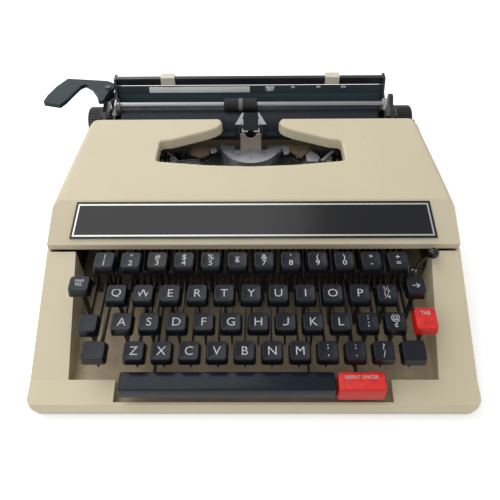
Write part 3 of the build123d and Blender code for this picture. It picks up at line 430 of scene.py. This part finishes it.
def inked_cloth(name):
    """The inked ribbon's weave."""
    f = Finish(name, Roughness=0.85, Sheen_Weight=0.2)
    settings = {"wave_type": "BANDS", "bands_direction": "DIAGONAL"}
    sockets = {"Vector": f.place, "Scale": 900}
    weave = f.node("ShaderNodeTexWave", output="Fac", settings=settings, sockets=sockets)
    f.set("Base Color", f.mix(weave, (0.008, 0.008, 0.010), (0.025, 0.025, 0.03)))
    f.bump(weave, 0.04, 0.6)
    return f.material


def printed_white(name, colour, rough=0.5):
    """Pale print or paint, a little worn."""
    f = Finish(name)
    worn = f.ramp(f.noise(0.8, 4, 0.7), (0.45, 0.0), (0.8, 0.4))
    f.set("Base Color", f.mix(worn, colour, shade(colour, 0.75)))
    f.roughness(rough - 0.1, rough + 0.1, 2, 3)
    return f.material


platen_middle = [(a + b) / 2 / MM for a, b in zip(*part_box("platen"))]
roller_middle = [(a + b) / 2 / MM for a, b in zip(*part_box("bail_roller"))]
dark_steel = (0.06, 0.056, 0.052)
solid_red = (0.80, 0.020, 0.014)
cream_base = case_cream("cream_base", (0.690, 0.620, 0.440), (0.615, 0.540, 0.370), (0.54, 0.43, 0.28))
cream_cover = moulded_cream("cream_cover", (0.700, 0.625, 0.455), (0.635, 0.555, 0.385))
cream_trim = smooth_plastic("cream_trim", (0.64, 0.60, 0.48), 0.34)
# The first colour is the key top painted paler as a sheen of reflected light, the second the sides
# painted darker as shade
key_black = key_plastic("key_black", (0.009, 0.011, 0.018), (0.003, 0.004, 0.006), 0.3)
tab_paint = red_key("tab_paint", solid_red, dark_steel, tab_cap_foot_z, tab_cap_back_y)
repeat_paint = red_key("repeat_paint", solid_red, dark_steel, repeat_cap_foot_z, repeat_cap_back_y)
# The first colour is the red top painted paler as a sheen of reflected light, the second the sides
# painted darker as shade
key_red = key_plastic("key_red", (0.84, 0.040, 0.032), (0.60, 0.014, 0.010), 0.3)
bar_black = smooth_plastic("bar_black", (0.006, 0.011, 0.018), 0.2, 0.04, 0.22)
knob_black = knob_plastic("knob_black", (0.010, 0.011, 0.014), platen_middle[1:])
panel_black = smooth_plastic("panel_black", (0.005, 0.005, 0.006), 0.14, 0.03)
silver_line = plated_steel("silver_line", (0.74, 0.73, 0.70), 0.3, tarnish=0.2)
bright_steel = plated_steel("bright_steel", (0.66, 0.68, 0.72), 0.26)
lever_steel = plated_steel("lever_steel", dark_steel, 0.4, (8, 1, 8), 0.6)
frame_steel = plated_steel("frame_steel", (0.16, 0.16, 0.165), 0.42, tarnish=0.7)
fan_steel = plated_steel("fan_steel", (0.42, 0.42, 0.44), 0.34, metallic=0.2)
worn_steel = plated_steel("worn_steel", (0.52, 0.53, 0.56), 0.34, metallic=0.3)
segment_plate = segment_steel("segment_plate", (0.30, 0.30, 0.31), (0.80, 0.81, 0.86))
brass = plated_steel("brass", (0.62, 0.44, 0.18), 0.3)
bell_chrome = plated_steel("bell_chrome", (0.72, 0.73, 0.75), 0.14, tarnish=0.2)
carriage_black = enamel("carriage_black", (0.010, 0.011, 0.014), 0.32)
# The second colour is the same enamel painted paler below the bend as light falling on the lower face
table_teal = table_enamel("table_teal", (0.030, 0.042, 0.050), (0.065, 0.100, 0.118))
lever_enamel = smooth_plastic("lever_enamel", (0.014, 0.026, 0.034), 0.42, 0.08, 0.2)
platen_rubber = rubber("platen_rubber", (0.008, 0.013, 0.020), 0.42)
black_rubber = rubber("black_rubber", (0.014, 0.014, 0.015), 0.6)
bail_rubber = roller_rubber("bail_rubber", (0.012, 0.012, 0.013), (0.16, 0.16, 0.15), roller_middle[0])
ribbon_cloth = inked_cloth("ribbon_cloth")
letter_white = printed_white("letter_white", (0.50, 0.52, 0.54))
strip_pale = printed_white("strip_pale", (0.72, 0.73, 0.72), 0.4)
guide_paint = guide_metal("guide_paint", (0.30, 0.255, 0.22), (0.66, 0.68, 0.71), (0.25, 0.175, 0.12))
bail_paint = bail_metal("bail_paint", (0.34, 0.35, 0.37), (0.60, 0.58, 0.50))
selector_paint = selector_finish("selector_paint", (0.008, 0.008, 0.009), (0.55, 0.56, 0.58))


def clear():
    bpy.ops.object.select_all(action="DESELECT")


def choose(obj):
    clear()
    obj.select_set(True)
    bpy.context.view_layer.objects.active = obj


def settle(obj):
    """Put the object's place, turn and size into its mesh."""
    choose(obj)
    bpy.ops.object.transform_apply(location=True, rotation=True, scale=True)
    return obj


def start_block(name, low, high):
    """A block between two corners in millimetres, ready to be shaped."""
    clear()
    middle = [(a + b) / 2 * MM for a, b in zip(low, high)]
    bpy.ops.mesh.primitive_cube_add(size=1, location=middle)
    block = bpy.context.object
    block.name = name
    block.scale = [(b - a) * MM for a, b in zip(low, high)]
    return settle(block)


def start_drum(name, radius, ends, axis, sides=64):
    """A round bar between two points in millimetres."""
    clear()
    low, high = Vector(ends[0]) * MM, Vector(ends[1]) * MM
    bpy.ops.mesh.primitive_cylinder_add(
        vertices=sides, radius=radius * MM, depth=(high - low).length, location=(low + high) / 2
    )
    drum = bpy.context.object
    drum.name = name
    drum.rotation_euler = {"x": (0, math.pi / 2, 0), "y": (math.pi / 2, 0, 0), "z": (0, 0, 0)}[axis]
    return settle(drum)


def pick(obj, faces=None, edges=None):
    """Select faces or edges by a test of their centre and direction, and go into edit mode."""
    choose(obj)
    mesh = obj.data
    mesh.vertices.foreach_set("select", [False] * len(mesh.vertices))
    mesh.edges.foreach_set("select", [False] * len(mesh.edges))
    mesh.polygons.foreach_set("select", [False] * len(mesh.polygons))
    if faces:
        for face in mesh.polygons:
            face.select = faces(face.center / MM, face.normal)
    if edges:
        for edge in mesh.edges:
            a, b = (mesh.vertices[i].co / MM for i in edge.vertices)
            edge.select = edges((a + b) / 2, (b - a).normalized())
    bpy.ops.object.mode_set(mode="EDIT")
    bpy.ops.mesh.select_mode(type="FACE" if faces else "EDGE")


def done():
    bpy.ops.object.mode_set(mode="OBJECT")


def bevel_edges(obj, width_mm, segments, angle):
    bevel = obj.modifiers.new("edges", "BEVEL")
    bevel.width = width_mm * MM
    bevel.segments = segments
    bevel.limit_method = "ANGLE"
    bevel.angle_limit = math.radians(angle)
    return bevel


def soften(obj, width_mm, segments=3, angle=30):
    """Round the sharp edges, and smooth the rest."""
    choose(obj)
    bevel = bevel_edges(obj, width_mm, segments, angle)
    bpy.ops.object.modifier_apply(modifier=bevel.name)
    bpy.ops.object.shade_smooth_by_angle(angle=math.radians(40))
    return obj


def dress(obj, material):
    obj.data.materials.clear()
    obj.data.materials.append(material)
    return obj


def ride_as(piece, body):
    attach(piece, body)


def merge(name, pieces):
    """Join several pieces into the first, which takes the name."""
    clear()
    for piece in pieces:
        piece.select_set(True)
    bpy.context.view_layer.objects.active = pieces[0]
    if len(pieces) > 1:
        bpy.ops.object.join()
    whole = bpy.context.object
    whole.name = name
    return whole


def copy_of(obj, name):
    twin = obj.copy()
    twin.data = obj.data.copy()
    twin.name = name
    bpy.context.scene.collection.objects.link(twin)
    return twin


def is_top(centre, normal):
    return normal.z > 0.99


# Key tops
def plain_cap(name, size, dish=1.0):
    """A key top with tapered sides and rounded corners, dished or bulged, standing on the origin."""
    width, depth, height = size
    cap = start_block(name, (-width / 2, -depth / 2, 0), (width / 2, depth / 2, height))
    pick(cap, faces=is_top)
    shrink = ((width - 2 * cap_taper) / width, (depth - 2 * cap_taper) / depth, 1)
    bpy.ops.transform.resize(value=shrink)
    done()
    pick(cap, edges=lambda centre, line: abs(line.z) > 0.5)
    bpy.ops.mesh.bevel(offset=cap_corner * MM, segments=5)
    done()
    pick(cap, faces=is_top)
    bpy.ops.mesh.inset(thickness=cap_rim * MM)
    for share, down in dish_rings:
        bpy.ops.mesh.inset(thickness=0)
        bpy.ops.transform.resize(value=(share, share, 1))
        bpy.ops.transform.translate(value=(0, 0, -dish * down * MM))
    done()
    return soften(cap, cap_edge, 3, 28)


def legend(text, height_mm, size, squeeze=1.0, lift_mm=0.0):
    """Letters lying on a key top of that size, moved up it by lift_mm."""
    clear()
    bpy.ops.object.text_add(location=(0, 0, 0))
    letters = bpy.context.object
    letters.data.body = text
    letters.data.align_x = "CENTER"
    letters.data.align_y = "CENTER"
    letters.data.size = height_mm * MM / capital_share
    letters.data.space_line = line_spacing
    letters.data.offset = (-0.006 if height_mm > 5 else 0.001) * height_mm * MM
    # Two lines reach up the dish's slope, so they stand higher and go deeper
    two_lines = "\n" in text
    depth, below_rim = (0.4, 0.16) if two_lines else (0.2, 0.46)
    letters.data.extrude = depth * MM
    letters.data.resolution_u = 4
    bpy.ops.object.convert(target="MESH")
    letters = bpy.context.object
    letters.scale = (squeeze, 1, 1)
    settle(letters)
    low = min(v.co.y for v in letters.data.vertices)
    high = max(v.co.y for v in letters.data.vertices)
    letters.location = (0, lift_mm * MM - (low + high) / 2, (size[2] - depth - below_rim) * MM)
    settle(letters)
    return dress(letters, letter_white)


def place_key(pieces, name, place, size, tilt, body):
    """Join a key's pieces, and stand them where the key is."""
    whole = merge(name, pieces)
    spot = Vector((place[0], place[1], place[2] - size[2] + cap_rise)) * MM
    whole.matrix_world = Matrix.Translation(spot) @ Matrix.Rotation(math.radians(tilt), 4, "X")
    settle(whole)
    ride_as(whole, body)


def row_legend(sign):
    if sign == "J":
        return letter_j(legend("U", letter_height, cap_size))
    return legend(sign, letter_height if len(sign) == 1 else small_letter_height, cap_size)


def key_rows():
    """The letter, number and sign keys, which share one cap."""
    master = dress(plain_cap("cap", cap_size), key_black)
    for row, signs in enumerate(row_legends):
        for place, sign in enumerate(signs):
            body = f"key_{sign.lower()}" if sign.isalpha() else "number_and_sign_keys"
            name = f"{body}_cap" if sign.isalpha() else f"sign_cap_{row}_{place}"
            spot = (row_first_x[row] + key_pitch * place, row_y[row], row_z[row])
            pieces = [copy_of(master, "cap_copy"), row_legend(sign)]
            place_key(pieces, name, spot, cap_size, row_tilt[row], body)
    bpy.data.objects.remove(master)


def keys_at_the_sides():
    """The keys at both ends of the rows, each with its own cap."""
    for index, (body, place, tilt, size, dish, text, height, squeeze, lift) in enumerate(side_keys):
        material, slot = (key_red, "key_red") if body == "tab_key" else (key_black, "key_black")
        pieces = [dress(plain_cap("cap", size, dish), material)]
        if text:
            above = size[2] - 0.3 * dish + (0.35 if dish > 0 else 0.75)
            pieces.append(legend(text, height, (0, 0, above), squeeze, lift))
        if body == "shift_lock_key":
            pieces += lock_wires(size)
        place_key(pieces, f"{body}_cap_{index}", place, size, tilt, body)


def lock_wires(size):
    """The bright wires along the back and right edges of the shift lock's top."""
    x, y, z = size[0] / 2 - 2.0, size[1] / 2 - 2.0, size[2] - 0.25
    back = start_drum("wire", lock_wire_radius, ((-x, y, z), (x, y, z)), "x", 12)
    right = start_drum("wire", lock_wire_radius, ((x, -y, z), (x, y, z)), "y", 12)
    return [dress(soften(wire, lock_wire_radius / 2, 2), worn_steel) for wire in (back, right)]


def letter_j(letters):
    """Turn a U into a J: cut off its left upright, and centre what is left."""
    half = max(v.co.x for v in letters.data.vertices)
    pick(letters, faces=lambda centre, normal: True)
    bpy.ops.mesh.bisect(
        plane_co=(-0.55 * half, 0, 0), plane_no=(1, 0, 0), use_fill=True, clear_inner=True
    )
    bpy.ops.mesh.select_all(action="SELECT")
    bpy.ops.transform.translate(value=(-0.22 * half, 0, 0))
    done()
    return letters


def bar_cap(name, body, material, text=""):
    """A long key top over the solid one, with rounded ends and a soft front edge."""
    low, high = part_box(body)
    x0, x1, y0 = low.x / MM, high.x / MM, low.y / MM
    near = (x0 - bar_cover, y0 - bar_cover, bar_foot_z[body])
    cap = start_block(name, near, (x1 + bar_cover, bar_back_y, bar_top_z))
    pick(cap, edges=lambda centre, line: abs(line.z) > 0.9)
    bpy.ops.mesh.bevel(offset=bar_corner * MM, segments=4)
    done()
    pick(cap, faces=is_top)
    bpy.ops.transform.resize(value=(1 - 1.2 / (x1 - x0), 0.90, 1))
    done()
    pieces = [dress(soften(cap, bar_edge, 4, 30), material)]
    if text:
        letters = legend(text, bar_letter_height, (0, 0, bar_top_z + 0.55), 0.86)
        letters.location = ((x0 + x1) / 2 * MM, (bar_back_y - 5.0) * MM, 0)
        pieces.append(settle(letters))
    ride_as(merge(name, pieces), body)


# The panel on the cover
def panel_border():
    """The silver line just inside the edge of the glossy panel."""
    slope = math.atan2(panel_rise, panel_depth)
    normal = Vector((0, -math.sin(slope), math.cos(slope)))
    corners = [v.co.copy() for v in nodes["name_panel"].data.vertices]
    front = max(corner.dot(normal) for corner in corners)
    corners = [corner for corner in corners if corner.dot(normal) > front - 0.05 * MM]
    low = min(corner.y for corner in corners) + 0.5 * MM
    high = max(corner.y for corner in corners) - 0.5 * MM
    bottom = max((corner for corner in corners if corner.y < low), key=lambda corner: corner.x)
    top = max((corner for corner in corners if corner.y > high), key=lambda corner: corner.x)
    clear()
    bpy.ops.mesh.primitive_plane_add(size=1)
    border = bpy.context.object
    border.name = "panel_border"
    # The plane's corners run in rows: front left, front right, back left, back right
    sides = ((-1, bottom), (1, bottom), (-1, top), (1, top))
    for vertex, (side, corner) in zip(border.data.vertices, sides):
        vertex.co = Vector((side * corner.x, corner.y, corner.z)) + normal * 0.04 * MM
    pick(border, faces=lambda centre, direction: True)
    bpy.ops.mesh.inset(thickness=border_inset * MM)
    bpy.ops.mesh.select_all(action="INVERT")
    bpy.ops.mesh.delete(type="FACE")
    bpy.ops.mesh.select_all(action="SELECT")
    bpy.ops.mesh.inset(thickness=border_width * MM)
    bpy.ops.mesh.delete(type="FACE")
    bpy.ops.mesh.select_all(action="SELECT")
    bpy.ops.mesh.extrude_region_shrink_fatten(
        TRANSFORM_OT_shrink_fatten={"value": border_height * MM}
    )
    done()
    ride_as(dress(border, silver_line), "cover")


# Small parts of the carriage and the type basket
def sheet(name, corners, thick_mm, lift):
    """A thin plate from its corner points in millimetres, thickened along lift."""
    clear()
    bpy.ops.mesh.primitive_circle_add(vertices=len(corners), radius=1, fill_type="NGON")
    plate = bpy.context.object
    plate.name = name
    for vertex, corner in zip(plate.data.vertices, corners):
        vertex.co = Vector(corner) * MM
    pick(plate, faces=lambda centre, normal: True)
    move = Vector(lift).normalized() * thick_mm * MM
    bpy.ops.mesh.extrude_region_move(TRANSFORM_OT_translate={"value": move})
    bpy.ops.mesh.select_all(action="SELECT")
    bpy.ops.mesh.normals_make_consistent(inside=False)
    done()
    return plate


def table_plate(name, x0, x1, z0, z1, material):
    """A thin plate on the slanted top of the paper table's front."""
    bend_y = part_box("paper_table")[0].y / MM + 0.5
    bend_z = platen_middle[2] + table_bend
    corners = ((x0, z0), (x1, z0), (x1, z1), (x0, z1))
    places = [(x, bend_y + (z - bend_z) * table_lean, z) for x, z in corners]
    plate = sheet(name, places, 0.5, (0, -1, table_lean))
    ride_as(dress(soften(plate, 0.12, 2), material), "carriage")


def paper_strip():
    """The bare pale strip along the top of the paper table, and the small plates beside it."""
    top = platen_middle[2] + strip_top
    table_plate("paper_strip", *strip_ends, top - strip_height, top, strip_pale)
    for index, (x0, x1, deep) in enumerate(table_chips):
        table_plate(f"table_plate_{index}", x0, x1, top - deep, top, bright_steel)


def bracket_web():
    """The dark web between the left end plate and the platen's bearing."""
    web = start_block("bracket_web", (-122.6, 98.5, 84.0), (-114.5, 100.5, 99.0))
    ride_as(dress(soften(web, 0.5, 2), carriage_black), "carriage")


def basket_pieces():
    """The bright plates and straps in the type basket."""
    for index, corners in enumerate(basket_plates):
        places = [(x, y, basket_z) for x, y in corners]
        plate = sheet(f"basket_plate_{index}", places, 1.0, (0, 0, -1))
        ride_as(dress(soften(plate, 0.2, 2), worn_steel), "base")


# Dress the solids that are kept as they are
def finish_solids():
    """Give each solid its material. Those not named here are the keys with their levers."""
    materials = {
        "lower_case": cream_base,
        "top_cover": cream_cover,
        "rubber_feet": black_rubber,
        "name_panel": panel_black,
        "main_frame": frame_steel,
        "key_comb": frame_steel,
        "type_segment": segment_plate,
        "type_bars": fan_steel,
        "type_guide": guide_paint,
        "ribbon_vibrator": ribbon_cloth,
        "ribbon_spool_left": knob_black,
        "ribbon_spool_right": knob_black,
        "colour_selector": selector_paint,
        "escapement_wheel": brass,
        "mainspring_drum": frame_steel,
        "bell": bell_chrome,
        "carriage_frame": carriage_black,
        "platen": platen_rubber,
        "platen_knobs": knob_black,
        "feed_rollers": black_rubber,
        "paper_table": table_teal,
        "margin_stop_left": cream_trim,
        "margin_stop_right": cream_trim,
        "paper_bail": bail_paint,
        "bail_roller": bail_rubber,
        "return_lever": lever_enamel,
        "tab_key": tab_paint,
        "repeat_key": repeat_paint,
    }
    for name, node in nodes.items():
        dress(node, materials.get(name, lever_steel))


def soften_solid(name, width_mm):
    """Round a kept solid's sharp edges with a modifier, which leaves its mesh alone."""
    node = nodes[name]
    bevel_edges(node, width_mm, 2, 30)
    weighted = node.modifiers.new("normals", "WEIGHTED_NORMAL")
    weighted.keep_sharp = True


# Camera, floor and light
def place_camera():
    pitch, yaw, roll = (math.radians(v) for v in (camera_pitch, camera_yaw, camera_roll))
    ahead = Vector((
        math.sin(yaw) * math.cos(pitch), math.cos(yaw) * math.cos(pitch), -math.sin(pitch),
    ))
    right = Vector((math.cos(yaw), -math.sin(yaw), 0))
    up = right.cross(ahead)
    across = right * math.cos(roll) + up * math.sin(roll)
    upright = up * math.cos(roll) - right * math.sin(roll)
    turn = Matrix((across, upright, -ahead)).transposed().to_4x4()
    data = bpy.data.cameras.new("camera")
    data.sensor_fit = "HORIZONTAL"
    data.sensor_width = 36
    data.lens = 18 / math.tan(math.radians(view_angle / 2))
    data.clip_start = 0.01
    camera = bpy.data.objects.new("camera", data)
    camera.matrix_world = Matrix.Translation(Vector(camera_place) * MM) @ turn
    bpy.context.scene.collection.objects.link(camera)
    bpy.context.scene.camera = camera


def area_light(name, place_mm, aim_mm, size_mm, power, colour):
    data = bpy.data.lights.new(name, "AREA")
    data.shape = "RECTANGLE"
    data.size = size_mm[0] * MM
    data.size_y = size_mm[1] * MM
    data.energy = power
    data.color = colour
    lamp = bpy.data.objects.new(name, data)
    lamp.location = Vector(place_mm) * MM
    direction = (Vector(aim_mm) - Vector(place_mm)).normalized()
    lamp.rotation_euler = direction.to_track_quat("-Z", "Y").to_euler()
    bpy.context.scene.collection.objects.link(lamp)


def studio():
    """The floor, the room's light, a window behind on the left and a softer light in front."""
    clear()
    bpy.ops.mesh.primitive_plane_add(size=6, location=(0, 0.4, 0))
    floor = bpy.context.object
    floor.name = "floor"
    f = Finish("pale_floor", Roughness=0.75, Specular_IOR_Level=0.2, Emission_Strength=1.0)
    f.surface.inputs["Base Color"].default_value = (0.84, 0.84, 0.84, 1)
    # The floor glows only where it is seen, straight or in a shiny piece, and so it stays white
    seen, mirrored, through = (
        f.node("ShaderNodeLightPath", output=f"Is {kind} Ray")
        for kind in ("Camera", "Glossy", "Transmission")
    )
    f.set("Emission Color", f.mix(seen + mirrored + through, (0, 0, 0), (0.45, 0.45, 0.45)))
    dress(floor, f.material)
    world = bpy.data.worlds.new("soft_room")
    world.use_nodes = True
    background = world.node_tree.nodes["Background"]
    background.inputs["Color"].default_value = (0.95, 0.97, 1.0, 1)
    background.inputs["Strength"].default_value = 0.52
    bpy.context.scene.world = world
    area_light("window", (-600, 700, 1000), (0, 0, 60), (1200, 1500), 10, (1.0, 0.99, 0.97))
    area_light("room", (-650, -560, 1300), (0, 0, 40), (1400, 1400), 7.6, (1.0, 0.98, 0.95))
    scene = bpy.context.scene
    scene.view_settings.view_transform = "Standard"
    scene.view_settings.look = "None"


clear()
place_camera()
studio()
finish_solids()
key_rows()
keys_at_the_sides()
bar_cap("space_bar_cap", "space_bar", bar_black)
bar_cap("repeat_key_cap", "repeat_key", key_red, "REPEAT SPACER")
panel_border()
paper_strip()
bracket_web()
basket_pieces()
for solid, width in (("top_cover", 1.5), ("lower_case", 0.9), ("return_lever", 0.9)):
    soften_solid(solid, width)
